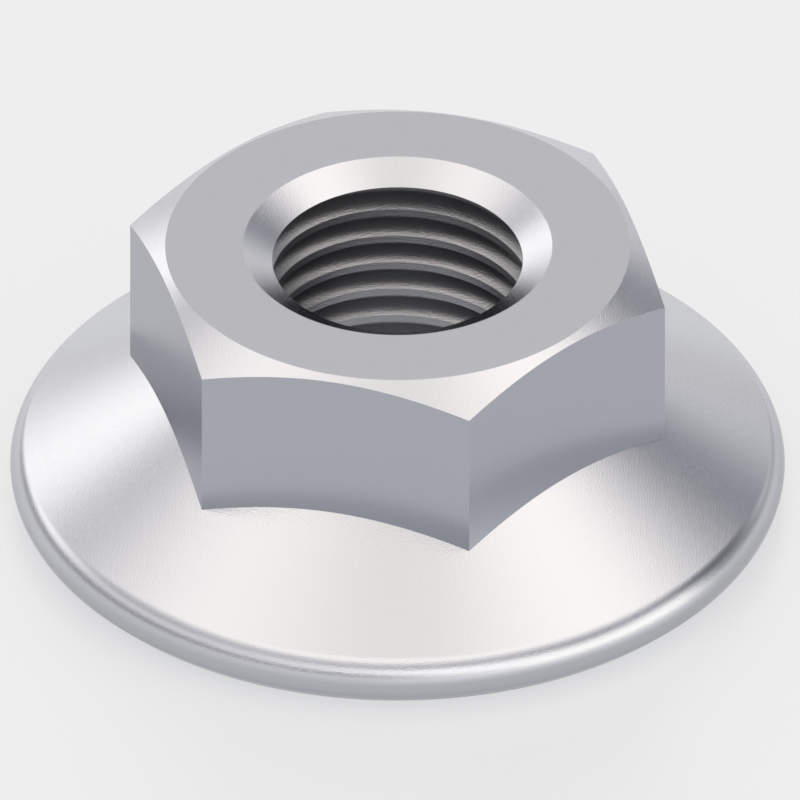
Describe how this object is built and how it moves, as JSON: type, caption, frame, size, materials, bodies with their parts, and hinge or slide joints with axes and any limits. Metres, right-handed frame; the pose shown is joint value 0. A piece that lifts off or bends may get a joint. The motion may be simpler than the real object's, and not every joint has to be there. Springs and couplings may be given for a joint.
{
  "type": "collar nut",
  "caption": "Hexagon nut with a wide collar that slopes down to a rounded rim, turned in one piece, with a threaded bore countersunk at the mouth.",
  "frame": {"origin": "centre of the flat bearing face, on the axis of the bore", "axes": "+Z along the bore, from the bearing face to the top of the hexagon; two corners of the hexagon lie along X and two flats face +Y and -Y"},
  "size_m": [0.0254, 0.0254, 0.0097],
  "materials": {
    "steel": "bright satin zinc plating, with a fine even grain"
  },
  "bodies": {
    "root": {"collar_nut": "steel"}
  },
  "joints": []
}
